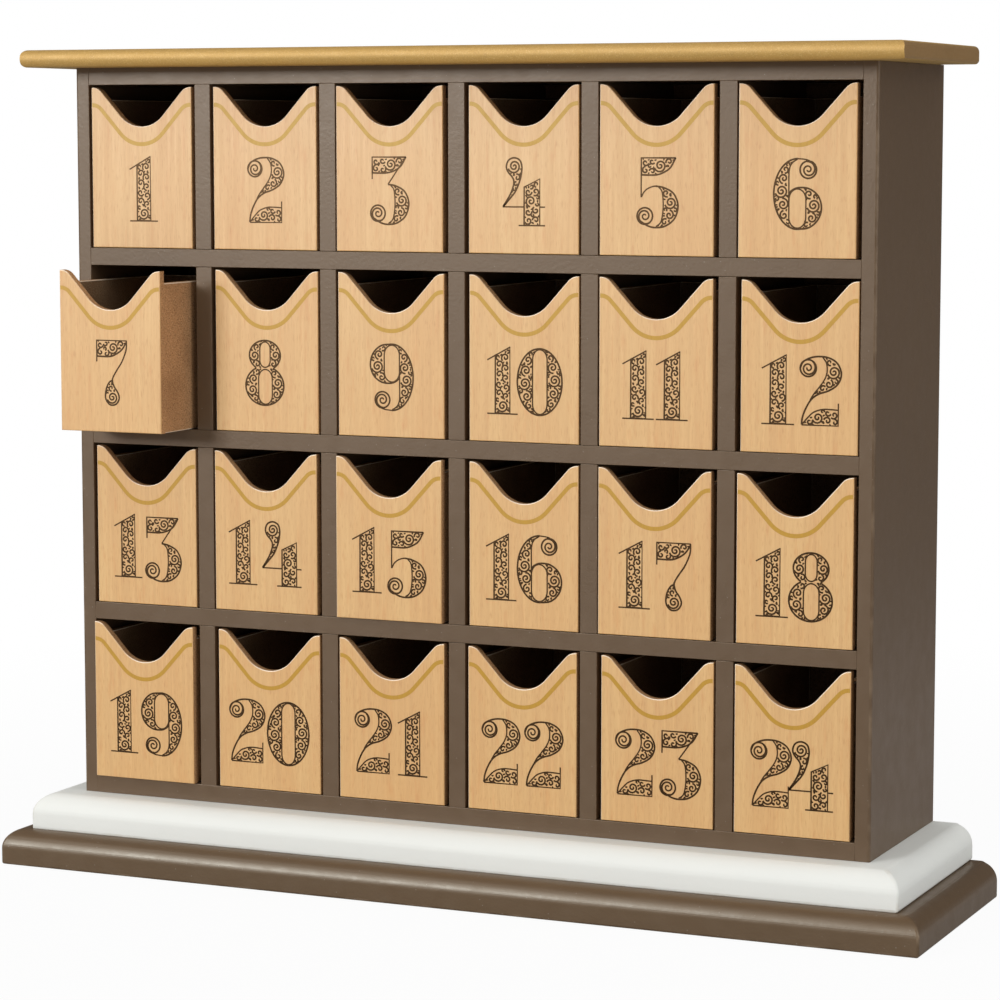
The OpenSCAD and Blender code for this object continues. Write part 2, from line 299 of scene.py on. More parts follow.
skin, given, result = new_group(
    "sprayed_skin",
    [("Place", "Vector"), ("Colour", "Color"), ("Cloud", "Float"), ("Speck", "Float")],
    [("Colour", "Color"), ("Roughness", "Float"), ("Height", "Float")],
)
cloud = noise(skin, given["Place"], 14.0, 3.0)
patch = noise(skin, given["Place"], 160.0, 3.0)
peel = noise(skin, given["Place"], 900.0, 2.0)
dust = node(skin, "ShaderNodeTexVoronoi", {"Vector": given["Place"], "Scale": 330.0}).outputs["Distance"]
uneven = math_node(skin, "ADD", times(skin, cloud, 0.6), times(skin, patch, 0.4))
uneven = math_node(skin, "SUBTRACT", uneven, 0.5)
shade = math_node(skin, "ADD", 1.0, times(skin, uneven, given["Cloud"]))
shaded = {0: given["Colour"], "Scale": shade}
tinted = node(skin, "ShaderNodeVectorMath", shaded, operation="SCALE").outputs[0]
grains = times(skin, ramped(skin, dust, 0.075, 0.045), given["Speck"])
feed(skin, result, {
    "Colour": blended(skin, grains, tinted, linear(232, 226, 214)),
    "Roughness": ramped(skin, patch, 0.3, 0.7, -0.04, 0.04),
    "Height": math_node(skin, "ADD", peel, times(skin, grains, 2.0)),
})
print("sprayed_skin:", len(skin.nodes), "nodes")

# %% Rubbed edges
rub, given, result = new_group(
    "rubbed_edge",
    [("Place", "Vector"), ("Edge", "Float"), ("Colour", "Color"), ("Bare", "Color"), ("Wear", "Float")],
    [("Colour", "Color")],
)
broken = noise(rub, given["Place"], 120.0, 4.0)
worn = times(rub, times(rub, ramped(rub, broken, 0.45, 0.68), given["Edge"]), given["Wear"])
feed(rub, result, {"Colour": blended(rub, worn, given["Colour"], given["Bare"])})
print("rubbed_edge:", len(rub.nodes), "nodes")

# %% Bare fibres
fibres, given, result = new_group(
    "bare_fibres",
    [("Place", "Vector"), ("Colour", "Color"), ("Dark", "Color"), ("Pale", "Color"), ("Amount", "Float")],
    [("Colour", "Color"), ("Height", "Float")],
)
fine = noise(fibres, given["Place"], 2300.0, 2.0)
hairs = noise(fibres, scaled(fibres, given["Place"], 2600.0, 1300.0, 2600.0), 1.0, 3.0)
blotch = noise(fibres, given["Place"], 60.0, 2.0)
dots = times(fibres, ramped(fibres, fine, 0.5, 0.68), given["Amount"])
light = times(fibres, ramped(fibres, hairs, 0.5, 0.68, 0.0, 0.75), given["Amount"])
dull = times(fibres, ramped(fibres, blotch, 0.4, 0.7, 0.0, 0.35), given["Amount"])
tone = blended(fibres, dots, given["Colour"], given["Dark"])
tone = blended(fibres, light, tone, given["Pale"])
tone = blended(fibres, dull, tone, given["Dark"])
feed(fibres, result, {"Colour": tone, "Height": math_node(fibres, "ADD", fine, hairs)})
print("bare_fibres:", len(fibres.nodes), "nodes")

# %% [markdown]
# ## The painted boards
# The cabinet is sprayed in a satin taupe, the lower plinth in a warm umber, the upper plinth in white.
# All three are the same kind of paint, so one function makes them from a colour, a gloss and a strength
# of wear. A plain colour would look like plastic; the shared skin and the rubbed edges are what make it
# paint on wood.


# %% Start a material
def new_material(name):
    """A material with its tree, its shader and its object coordinates."""
    made = bpy.data.materials.new(name)
    made.use_nodes = True
    tree = made.node_tree
    shader = tree.nodes["Principled BSDF"]
    return made, tree, shader, node(tree, "ShaderNodeTexCoord").outputs["Object"]


def placed_group(tree, group, inputs):
    """A group placed in a material, with its own values."""
    return node(tree, "ShaderNodeGroup", inputs, node_tree=group).outputs


def bumped(tree, shader, height, strength, distance):
    """Lets a height tilt the light on a surface."""
    bump = node(tree, "ShaderNodeBump", {"Height": height, "Strength": strength, "Distance": distance})
    feed(tree, shader, {"Normal": bump.outputs[0]})


print("groups to place:", [group.name for group in bpy.data.node_groups])


# %% Paint
def sprayed_paint(name, colour, bare, rough, shine, tint, cloud, speck, wear):
    """Satin paint on board: a cloudy colour, dust specks, rubbed edges and an orange-peel skin."""
    made, tree, shader, place = new_material(name)
    coat = placed_group(tree, skin, {"Place": place, "Colour": colour, "Cloud": cloud, "Speck": speck})
    rubbed = placed_group(tree, rub, {
        "Place": place, "Edge": face_mark(tree, "edge"), "Colour": coat["Colour"],
        "Bare": bare, "Wear": wear,
    })
    feed(tree, shader, {
        "Base Color": rubbed["Colour"],
        "Roughness": math_node(tree, "ADD", coat["Roughness"], rough),
        "Specular IOR Level": shine,
        "Specular Tint": tint,
    })
    bumped(tree, shader, coat["Height"], 0.18, 0.2 * mm)
    return made


taupe_paint = sprayed_paint(
    "taupe_paint", linear(95, 75, 55), linear(130, 110, 88),
    rough=0.38, shine=0.55, tint=(1, 0.92, 0.82, 1), cloud=0.2, speck=0.12, wear=0.6,
)
umber_paint = sprayed_paint(
    "umber_paint", linear(95, 75, 54), linear(136, 116, 94),
    rough=0.36, shine=0.52, tint=(1, 1, 0.9, 1), cloud=0.14, speck=0.15, wear=0.6,
)
white_paint = sprayed_paint(
    "white_paint", linear(226, 227, 222), linear(205, 200, 188),
    rough=0.5, shine=0.15, tint=white, cloud=0.05, speck=0.0, wear=0.5,
)
print("paints:", taupe_paint.name, umber_paint.name, white_paint.name)

# %% [markdown]
# ## Gold paint
# The top board's paint is a lacquer with fine metal flakes. As a full metal it would turn orange and
# black, so it is only a quarter metallic, rather rough, and tiny cells make some flakes bright and some
# dim. The ends of the board get painted shade, a darker colour; a mark on those faces tells the material
# where.

# %% Gold paint
gold_paint, tree, shader, place = new_material("gold_paint")
coat = placed_group(tree, skin, {
    "Place": place, "Colour": linear(190, 148, 72), "Cloud": 0.2, "Speck": 0.0,
})
flakes = node(tree, "ShaderNodeTexVoronoi", {"Vector": place, "Scale": 3600.0}).outputs["Color"]
flake = node(tree, "ShaderNodeSeparateXYZ", {0: flakes}).outputs[0]
gold = stained(tree, coat["Colour"], flake, 0.75, 1.0, 0.22, linear(236, 208, 150))
gold = stained(tree, gold, flake, 0.3, 0.0, 0.2, linear(128, 92, 46))
# Painted shade: the faces marked as the board's ends are darkened.
gold = blended(tree, face_mark(tree, "end"), gold, (0.6, 0.56, 0.74, 1), "MULTIPLY")
feed(tree, shader, {
    "Base Color": gold,
    "Roughness": math_node(tree, "ADD", coat["Roughness"], 0.6),
    "Metallic": 0.25,
    "Specular IOR Level": 0.95,
    "Specular Tint": (0.82, 1.0, 1.0, 1),
})
bumped(tree, shader, flake, 0.05, 0.1 * mm)
print("gold paint:", len(tree.nodes), "nodes")

# %% [markdown]
# ## The bare boards
# Drawer boxes are 3 mm fibre board left bare, and so are the sawn edges of the drawer fronts. The back
# panel is the same stuff, pressed harder and darker. Both use the fibre group. Eased edges get a painted
# highlight, a paler colour for the light they catch, and the insides of the boxes get painted shade, a
# darker colour where shade falls in them; two marks on the faces say which is which, so that one material
# does it all.


# %% Bare fibre board
def bare_board(name, colour, dark, pale, amount, roughness, board_edge_highlight):
    """Fibre board with short fibres, a painted highlight on eased edges and painted shade inside boxes."""
    made, tree, shader, place = new_material(name)
    stuff = placed_group(tree, fibres, {
        "Place": place, "Colour": colour, "Dark": dark, "Pale": pale, "Amount": amount,
    })
    # Painted highlight: eased edges are mixed towards a pale colour, for the light they catch.
    board_highlight_share = times(tree, face_mark(tree, "edge"), board_edge_highlight)
    board = blended(tree, board_highlight_share, stuff["Colour"], linear(244, 228, 204))
    # Painted shade: faces marked as looking into a box are darkened.
    board = blended(tree, face_mark(tree, "inside"), board, (0.58, 0.66, 0.76, 1), "MULTIPLY")
    feed(tree, shader, {"Base Color": board, "Roughness": roughness, "Specular IOR Level": 0.3})
    bumped(tree, shader, stuff["Height"], 0.25, 0.2 * mm)
    return made


fibre_board = bare_board(
    "fibre_board", linear(184, 137, 94), linear(121, 86, 55), linear(214, 176, 131),
    amount=0.9, roughness=0.62, board_edge_highlight=0.75,
)
hard_board = bare_board(
    "hard_board", linear(122, 86, 58), linear(84, 56, 38), linear(160, 122, 88),
    amount=0.6, roughness=0.5, board_edge_highlight=0.08,
)
print("boards:", fibre_board.name, hard_board.name)

# %% [markdown]
# ## Beech veneer
# The face of each drawer front is a thin sheet of beech. Beech has hardly any rings on such a cut: it
# shows soft upright bands, some a little pink and some a little yellow, a fine streak, and many short
# dark flecks. Noise that is stretched upright gives each of these at its own width. Every front has its
# own shift, kept as an attribute, so that no two fronts show the same figure.

# %% Veneer
beech_veneer, tree, shader, place = new_material("beech_veneer")
figure_shift = node(tree, "ShaderNodeAttribute", attribute_name="figure").outputs["Vector"]
sheet_place = node(tree, "ShaderNodeVectorMath", {0: place, 1: figure_shift}, operation="ADD").outputs[0]


def upright_noise(across, along, detail, distortion=0.0):
    """Noise with features so many metres wide and long, upright on the sheet."""
    stretched = scaled(tree, sheet_place, 1 / across, 1 / across, 1 / along)
    return noise(tree, stretched, 1.0, detail, distortion)


band = upright_noise(0.011, 0.12, 2.0, 0.3)
streak = upright_noise(0.0011, 0.03, 3.0)
fleck = upright_noise(0.00038, 0.0034, 1.0)
knot = upright_noise(0.0012, 0.009, 2.0)
wood = stained(tree, linear(216, 174, 116), band, 0.35, 0.65, 1.0, linear(213, 167, 109))
wood = stained(tree, wood, streak, 0.42, 0.75, 0.55, linear(200, 152, 97))
wood = stained(tree, wood, streak, 0.42, 0.2, 0.5, linear(227, 187, 132))
wood = stained(tree, wood, fleck, 0.56, 0.73, 0.5, linear(190, 134, 78))
wood = stained(tree, wood, knot, 0.57, 0.75, 0.45, linear(206, 146, 88))
# Painted highlight: rim faces that look up and left, towards the key lamp, are mixed towards a pale colour
# and made less rough.
veneer_edge_highlight = face_mark(tree, "edge")
wood = blended(tree, times(tree, veneer_edge_highlight, 0.8), wood, linear(255, 244, 224))
satin = ramped(tree, streak, 0.3, 0.7, 0.34, 0.44)
feed(tree, shader, {
    "Base Color": wood,
    "Roughness": math_node(tree, "SUBTRACT", satin, times(tree, veneer_edge_highlight, 0.12)),
    "Specular IOR Level": 0.65,
})
bumped(tree, shader, math_node(tree, "ADD", streak, fleck), 0.1, 0.1 * mm)
print("veneer:", len(tree.nodes), "nodes")

# %% [markdown]
# ## Line paint, ink and steel
# The wave lines are a thin gold paint and the numbers a dark brown ink, both laid on the veneer. Ink and
# line paint sink in unevenly, so a noise that runs with the grain varies their colour and gloss. A warm
# tint in the reflection keeps dark ink from looking blue. Screws and pins are plated steel, wiped one way
# and a little dull.


# %% Line paint and ink
def thin_paint(name, colour, thin, roughness, shine, tint):
    """Paint or ink that is a little uneven where the wood takes it in."""
    made, tree, shader, place = new_material(name)
    taken = noise(tree, scaled(tree, place, 1600.0, 1600.0, 400.0), 1.0, 3.0)
    feed(tree, shader, {
        "Base Color": stained(tree, colour, taken, 0.45, 0.8, 1.0, thin),
        "Roughness": ramped(tree, taken, 0.3, 0.7, roughness - 0.05, roughness + 0.08),
        "Specular IOR Level": shine,
        "Specular Tint": tint,
    })
    bumped(tree, shader, taken, 0.1, 0.05 * mm)
    return made


gold_line = thin_paint(
    "gold_line", linear(184, 138, 45), linear(176, 128, 43),
    roughness=0.38, shine=0.7, tint=(1, 0.97, 0.65, 1),
)
number_ink = thin_paint(
    "number_ink", linear(24, 12, 4), linear(56, 34, 18),
    roughness=0.38, shine=0.68, tint=(1, 0.61, 0.31, 1),
)
print("line paints:", gold_line.name, number_ink.name)

# %% Plated steel
plated_steel, tree, shader, place = new_material("plated_steel")
wipe = noise(tree, scaled(tree, place, 3000.0, 500.0, 3000.0), 1.0, 3.0)
tarnish = noise(tree, place, 700.0, 3.0)
feed(tree, shader, {
    "Base Color": stained(tree, linear(196, 193, 184), tarnish, 0.45, 0.75, 0.5, linear(150, 140, 118)),
    "Roughness": ramped(tree, wipe, 0.3, 0.7, 0.26, 0.42),
    "Metallic": 1.0,
})
bumped(tree, shader, wipe, 0.08, 0.05 * mm)
print("steel:", len(tree.nodes), "nodes")

# %% [markdown]
# ## The cabinet's boards
# Machined boards never end in a knife edge: each long edge is eased by a fraction of a millimetre, and
# that strip catches the light. Modelling the strips by hand would be slow. Instead a copy of each CAD
# board is cleaned of the triangles that its file needs, its long sharp edges are marked, and a bevel cuts
# only those. The outer upright corners of the sides are rounder than the rest, so an edge's mark also
# says how much it is cut.


# %% Clean a copy of a board
def cleaned_copy(name):
    """A copy of a CAD node with its triangles merged into whole faces."""
    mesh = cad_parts[name].data.copy()
    mesh.name = name + "_eased"
    shell = bmesh.new()
    shell.from_mesh(mesh)
    bmesh.ops.remove_doubles(shell, verts=shell.verts, dist=1e-6)
    bmesh.ops.dissolve_limit(shell, angle_limit=math.radians(0.4), verts=shell.verts, edges=shell.edges)
    bmesh.ops.recalc_face_normals(shell, faces=shell.faces)
    shell.to_mesh(mesh)
    shell.free()
    mesh.materials.clear()
    return mesh


print("CAD nodes to dress:", len(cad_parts))

# %% Mark the edges to ease
sharp_turn = 0.7
mitre_turn = 0.35
nearly_level = 0.97
tall_edge = 50 * mm
outer_band = 2 * mm


def mark_long_edges(mesh, shortest, mitres, inner):
    """Marks the long sharp edges, mitres too if wanted: 1 on outer upright corners, inner on the rest."""
    shell = bmesh.new()
    shell.from_mesh(mesh)
    weights = shell.edges.layers.float.new("bevel_weight_edge")
    outermost = max(abs(corner.co.x) for corner in shell.verts)
    for edge in shell.edges:
        if len(edge.link_faces) != 2:
            continue
        turn = edge.calc_face_angle_signed()
        upright_faces = all(abs(face.normal.z) < nearly_level for face in edge.link_faces)
        mitred = mitres and turn > mitre_turn and upright_faces
        if mitred or (turn > sharp_turn and edge.calc_length() > shortest):
            first, second = (corner.co for corner in edge.verts)
            at_side = min(abs(first.x), abs(second.x)) > outermost - outer_band
            tall = abs(first.z - second.z) > tall_edge
            edge[weights] = 1.0 if at_side and tall else inner
    shell.to_mesh(mesh)
    shell.free()


print("edges are eased where they turn by more than", round(math.degrees(sharp_turn)), "degrees")

# %% [markdown]
# ## Easing a board
# The bevel puts its new faces in a second material slot, which is an easy way to find them afterwards:
# they become the edge attribute that the paints and bare boards read. Weighted normals then keep the
# large faces flat to the light, because a bevel alone makes them look slightly domed.


# %% Ease a board
def as_plain_mesh(piece):
    """The piece's mesh with its modifiers worked in."""
    bpy.context.view_layer.update()
    seen = piece.evaluated_get(bpy.context.evaluated_depsgraph_get())
    return bpy.data.meshes.new_from_object(seen)


def mark_faces(mesh, name, value_of):
    """Gives every face a value from 0 to 1, which the finishes read by its name."""
    marks = mesh.attributes.new(name, "FLOAT", "FACE")
    for face in mesh.polygons:
        marks.data[face.index].value = min(1.0, max(0.0, value_of(face)))


ease_segments = 3


def eased_piece(name, ease, shortest, finish, mitres=False, inner=1.0):
    """A dressed copy of a CAD node, with its long edges eased and, if wanted, its mitres."""
    mesh = cleaned_copy(name)
    mark_long_edges(mesh, shortest, mitres, inner)
    for _ in ("faces", "strips"):
        mesh.materials.append(finish)
    mesh.shade_smooth()
    mesh.set_sharp_from_angle(angle=math.radians(32))
    piece = placed_object(name + "_finished", mesh)
    bevel = piece.modifiers.new("ease", "BEVEL")
    bevel.limit_method = "WEIGHT"
    bevel.width = ease
    bevel.segments = ease_segments
    bevel.use_clamp_overlap = False
    bevel.material = 1
    piece.modifiers.new("even_light", "WEIGHTED_NORMAL").keep_sharp = True
    finished = as_plain_mesh(piece)
    piece.modifiers.clear()
    piece.data = finished
    mark_faces(finished, "edge", lambda face: face.material_index)
    finished.materials.clear()
    finished.materials.append(finish)
    return piece


def belongs(piece, body, slot, *nodes):
    """Lets a piece ride on a body and stand for its CAD nodes; its slot is not used."""
    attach(piece, body)
    if nodes:
        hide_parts(*nodes)


print("steps across an eased edge:", ease_segments)


# %% The cabinet's boards
def sawn_end(face):
    """How far a face looks sideways, as the ends of a long board do, as its share of painted shade."""
    return 2 * abs(face.normal.x) - 0.6


painted_boards = {
    "lower_plinth": (umber_paint, "umber_paint", 0.8),
    "upper_plinth": (white_paint, "white_paint", 0.9),
    "cabinet_floor": (taupe_paint, "taupe_paint", 0.14),
    "cabinet_roof": (taupe_paint, "taupe_paint", 0.14),
    "left_side": (taupe_paint, "taupe_paint", 0.9),
    "right_side": (taupe_paint, "taupe_paint", 0.9),
    "shelves": (taupe_paint, "taupe_paint", 0.14),
    "dividers": (taupe_paint, "taupe_paint", 0.14),
    "top_board": (gold_paint, "gold_paint", 0.3),
    "back_panel": (hard_board, "raw_board", 0.25),
}
shortest_edge = 4 * mm
side_inner = 0.16
for name, (finish, slot, ease) in painted_boards.items():
    inner = side_inner if "_side" in name else 1.0
    board = eased_piece(name, ease * mm, shortest_edge, finish, "plinth" in name, inner)
    belongs(board, "cabinet", slot, name)
    if name == "top_board":
        # The top board's ends are marked for painted shade.
        mark_faces(board.data, "end", sawn_end)
    print(name, len(board.data.polygons), "faces")

# %% [markdown]
# ## The drawers' boxes
# Behind each front is a box of four bare boards. They are eased less than the painted ones, just enough
# for the bright line, partly a painted highlight, that runs along the top of the open drawer's walls. The
# boxes are dark inside, which is painted shade on the faces that look in. A face looks into its box if a
# point some way in front of it is still inside the box, which needs no list of faces.

# %% Drawer boxes
days = range(1, 25)
box_ease = 0.3 * mm
shortest_box_edge = 2 * mm
look_ahead = 8 * mm


def mark_inside(mesh, box):
    """Marks the faces that look into a drawer's box, for the painted shade that darkens them."""
    low, high = box

    def looks_in(face):
        ahead = face.center + face.normal * look_ahead
        return float(all(low[i] < ahead[i] < high[i] for i in range(3)))

    mark_faces(mesh, "inside", looks_in)


for day in days:
    name = f"drawer_tray_{day:02d}"
    tray = eased_piece(name, box_ease, shortest_box_edge, fibre_board)
    mark_inside(tray.data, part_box(name))
    belongs(tray, f"drawer_{day:02d}", "raw_board", name)
print("boxes:", len(days), "with", len(tray.data.polygons), "faces each")

# %% [markdown]
# ## The wave-cut fronts
# The top edge of a front is a wave: two round tips, straight flanks and a round hollow for a finger. It
# could be taken from the CAD's mesh, but it follows from a few radii and distances, so it is drawn anew
# here with finer steps. One half is worked out and the other is its mirror.

# %% The wave
front_w = 39.6
front_h = 55.5
front_t = 3.0
scoop_d = 13.5
scoop_r = 11.3
tip_r = 4.6
tip_in = 0.5


def on_oval(x, y, rx, ry, turns):
    """Points on an oval at some turns, in radians."""
    return np.stack([x + rx * np.cos(turns), y + ry * np.sin(turns)], 1)


def ring(x, y, rx, ry, start, end, steps):
    """Points round an oval from one angle to another, in degrees."""
    return on_oval(x, y, rx, ry, np.radians(np.linspace(start, end, steps)))


def right_half_of_wave():
    """The wave from its right end to its lowest point, in mm from the middle of the lower edge."""
    tip = np.array([front_w / 2 - tip_in, front_h - tip_r])
    hollow = np.array([0.0, front_h - scoop_d + scoop_r])
    between = hollow - tip
    lean = math.acos((tip_r + scoop_r) / np.hypot(*between))
    flank = math.degrees(math.atan2(between[1], between[0]) - lean)
    start = math.degrees(math.acos(tip_in / tip_r))
    over = ring(*tip, tip_r, tip_r, start, flank, 14)
    down = ring(*hollow, scoop_r, scoop_r, flank - 180, -90, 16)
    return np.concatenate([over, down])


half_wave = right_half_of_wave()
mirrored = half_wave[::-1][1:] * [-1, 1]
wave = np.concatenate([half_wave, mirrored])
lower_edge = wave[::-1] * [1, 0]
outline = np.concatenate([lower_edge, wave])
print("wave:", len(wave), "points, lowest", round(float(wave[:, 1].min()), 2), "mm")

# %% [markdown]
# ## Building a front
# Rings of the outline, each a little further in and nearer the face, ease the edge of the veneer. A bevel
# would do as well, but the rings can be told apart: the face and its eased rim are veneer, the sawn edge
# and the back are bare board. The face is made of upright strips, because one large face with a wavy edge
# can shade badly.


# %% The rings of a front
def moved_in(points, by):
    """A closed outline, run anticlockwise, moved inwards by a distance."""
    ahead = np.roll(points, -1, 0) - points
    ahead /= np.linalg.norm(ahead, axis=1)[:, None]
    inward = np.stack([-ahead[:, 1], ahead[:, 0]], 1)
    both = inward + np.roll(inward, 1, 0)
    both /= np.linalg.norm(both, axis=1)[:, None]
    return points + both * (by / np.maximum((both * inward).sum(1), 0.5))[:, None]


face_ease = 0.3
face_rim = 0.05
back_ease = 0.1
ease_turns = np.radians([0, 22.5, 45, 67.5, 90])
face_steps = [(face_ease + face_rim, 0.0)]
face_steps += [(face_ease * (1 - math.sin(a)), face_ease * (1 - math.cos(a))) for a in ease_turns]
back_steps = [(0.0, front_t - back_ease), (back_ease, front_t)]
rings = face_steps + back_steps
print("rings:", len(rings), "of", len(outline), "points")


# %% Build a front
def worn_bright(face):
    """How far a face of the rim looks up and to the left, towards the key lamp, as the share of its painted
    highlight.
    """
    return 1.7 * face.normal.z - 1.1 * face.normal.x


def front_mesh(name, place, figure):
    """One drawer front: eased veneer face, sawn edge and back, at its place in mm."""
    corners = []
    for inset, depth in rings:
        for x, z in moved_in(outline, inset):
            corners.append(((place[0] + x) * mm, (place[1] + depth) * mm, (place[2] + z) * mm))
    count = len(outline)
    strips = [(i, i + 1, count - 2 - i, count - 1 - i) for i in range(len(lower_edge) - 1)]
    faces = list(strips)
    for number in range(len(rings) - 1):
        a, b = number * count, (number + 1) * count
        for i in range(count):
            j = (i + 1) % count
            faces.append((a + i, b + i, b + j, a + j))
    last = (len(rings) - 1) * count
    faces += [tuple(last + i for i in face[::-1]) for face in strips]
    mesh = bpy.data.meshes.new(name)
    mesh.from_pydata(corners, [], faces)
    mesh.materials.append(beech_veneer)
    mesh.materials.append(fibre_board)
    veneered = len(strips) + (len(face_steps) - 1) * count
    for polygon in mesh.polygons[veneered:]:
        polygon.material_index = 1
    rim = range(len(strips) + count, veneered)
    mark_faces(mesh, "edge", lambda face: worn_bright(face) if face.index in rim else 0.0)
    shifted = mesh.attributes.new("figure", "FLOAT_VECTOR", "POINT")
    shifted.data.foreach_set("vector", np.tile(np.array(figure, np.float32), len(mesh.vertices)))
    mesh.shade_smooth()
    mesh.set_sharp_from_angle(angle=math.radians(30))
    return mesh


def front_place(day):
    """The middle of a front's lower edge, on its face, in mm, from its CAD node."""
    low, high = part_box(f"drawer_front_{day:02d}")
    return (low.x + high.x) / 2 / mm, low.y / mm, low.z / mm


sideways_step = 0.37
upright_step = 0.83
for day in days:
    name = f"drawer_front_{day:02d}"
    figure = (sideways_step * day % 1.0, 0.0, upright_step * day % 1.7)
    front = placed_object(name + "_finished", front_mesh(name + "_finished", front_place(day), figure))
    mark_inside(front.data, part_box(f"drawer_tray_{day:02d}"))
    belongs(front, f"drawer_{day:02d}", "beech", name)
print("fronts:", len(days), "with", len(front.data.polygons), "faces each")

# %% [markdown]
# ## A brush stroke as a node tree
# A painted line follows a path, which is what Geometry Nodes are good at. The tree takes a path drawn
# flat, gives it a thin flat section whose width is read from an attribute, stands it upright and carries
# it to its front. Flat shading keeps it from looking like a raised bead. The same tree paints the wave
# lines and, later, the numbers.


# %% The stroke tree
def shape_step(tree, kind, inputs, **settings):
    """One step of a tree that makes shapes."""
    return node(tree, "GeometryNode" + kind, inputs, **settings).outputs[0]


stroke_tree, given, result = new_group(
    "painted_stroke",
    [("Path", "Geometry"), ("Front place", "Vector"), ("Thickness", "Float"), ("Finish", "Material")],
    [("Stroke", "Geometry")],
    "GeometryNodeTree",
)
path = shape_step(stroke_tree, "MeshToCurve", {"Mesh": given["Path"]})
path = shape_step(stroke_tree, "SetCurveNormal", {"Curve": path}, mode="Z_UP")
width = shape_step(stroke_tree, "InputNamedAttribute", {"Name": "width"}, data_type="FLOAT")
section = shape_step(stroke_tree, "CurvePrimitiveQuadrilateral", {
    "Width": 1.0, "Height": given["Thickness"],
})
ribbon = shape_step(stroke_tree, "CurveToMesh", {
    "Curve": path, "Profile Curve": section, "Scale": width, "Fill Caps": True,
})
stood_up = shape_step(stroke_tree, "Transform", {
    "Geometry": ribbon, "Translation": given["Front place"], "Rotation": (math.radians(90), 0, 0),
})
faceted = shape_step(stroke_tree, "SetShadeSmooth", {"Geometry": stood_up, "Shade Smooth": False})
whole = shape_step(stroke_tree, "RealizeInstances", {"Geometry": faceted})
painted = shape_step(stroke_tree, "SetMaterial", {"Geometry": whole, "Material": given["Finish"]})
feed(stroke_tree, result, {"Stroke": painted})
print("painted_stroke:", len(stroke_tree.nodes), "nodes")


# %% Paint strokes on a front
def worked(piece, tree, inputs):
    """Runs a node tree on a piece, its inputs set by their identifiers, and keeps the plain mesh."""
    tool = piece.modifiers.new(tree.name, "NODES")
    tool.node_group = tree
    for label, value in inputs.items():
        tool[tree.interface.items_tree[label].identifier] = value
    piece.data = as_plain_mesh(piece)
    piece.modifiers.clear()
    return piece


def painted_strokes(name, paths, place, thickness, finish):
    """Strokes with a thickness that is a share of their width, on paths of (points, widths, lift) in mm."""
    corners, edges, widths = [], [], []
    for points, breadth, lift in paths:
        first = len(corners)
        corners += [(x * mm, z * mm, lift * mm) for x, z in points]
        edges += [(first + i, first + i + 1) for i in range(len(points) - 1)]
        widths += list(np.broadcast_to(breadth, len(points)) * mm)
    mesh = bpy.data.meshes.new(name)
    mesh.from_pydata(corners, edges, [])
    mesh.attributes.new("width", "FLOAT", "POINT").data.foreach_set("value", np.array(widths, np.float32))
    return worked(placed_object(name, mesh), stroke_tree, {
        "Front place": [v * mm for v in place], "Thickness": thickness, "Finish": finish,
    })


line_drop = 6.1
line_wide = 1.4
line_thick = 0.03
line_end = front_w / 2 - face_ease
line_path = wave + [0, -line_drop]
line_path = line_path[np.abs(line_path[:, 0]) < line_end]
right_end = np.array([[line_end, line_path[0][1]]])
line_path = np.concatenate([right_end, line_path, right_end * [-1, 1]])
for day in days:
    paths = [(line_path, line_wide, 0.0)]
    line = painted_strokes(f"wave_line_{day:02d}", paths, front_place(day), line_thick, gold_line)
    belongs(line, f"drawer_{day:02d}", "gold_paint")
print("wave lines:", len(days), "with", len(line.data.polygons), "faces each")

# %% [markdown]
# ## The numbers' pen strokes
# The printed numbers are outlined and filled with scrolls, like old ornamental initials. A font would
# give plain digits only, so each digit is drawn as a few pen strokes with a width, in millimetres: smooth
# lines through points, rings, straight lines, and tall openings with round ends.

# %% Pen strokes
bold = 0.6
hair = 0.48
scroll_wide = 0.6
digit_high = 22.5
half_turn_points = 17
span = 5


def smooth(*points):
    """A smooth line through the points, with some steps in each span between two of them."""
    p = np.array(points, float)
    p = np.concatenate([[2 * p[0] - p[1]], p, [2 * p[-1] - p[-2]]])
    t = np.linspace(0, 1, span, endpoint=False)[:, None]
    line = []
    for a, b, c, d in zip(p, p[1:], p[2:], p[3:]):
        bend = (2 * a - 5 * b + 4 * c - d) * t ** 2 + (3 * b - a - 3 * c + d) * t ** 3
        line.append(0.5 * (2 * b + (c - a) * t + bend))
    return np.concatenate(line + [p[-2:-1]])


def lozenge(left, right, low, high, end):
    """A tall opening with straight sides and round ends."""
    x, half = (left + right) / 2, (right - left) / 2
    top = ring(x, high - end, half, end, 0, 180, half_turn_points)
    base = ring(x, low + end, half, end, 180, 360, half_turn_points)
    return np.concatenate([top, base, top[:1]])


def left_half(opening, skip=8, keep=9):
    """The left half of a tall opening, from its lowest point up to its highest."""
    top, base = opening[:half_turn_points], opening[half_turn_points:2 * half_turn_points]
    return np.concatenate([base[::-1][skip:], top[::-1][:keep]])


def straight(*points):
    """Straight lines from point to point."""
    return np.array(points, float)


print("pen widths", bold, hair, scroll_wide, "mm")

# %% [markdown]
# ## Digits of ovals
# Every digit gives its width, its lines with their widths, and its cells: closed outlines to fill with
# scrolls. A cell comes with the circles for its largest scrolls, as (x, y, radius), or with the angle
# where the curl of a round ball end starts. A 9 is a 6 turned round, so it isn't drawn twice.


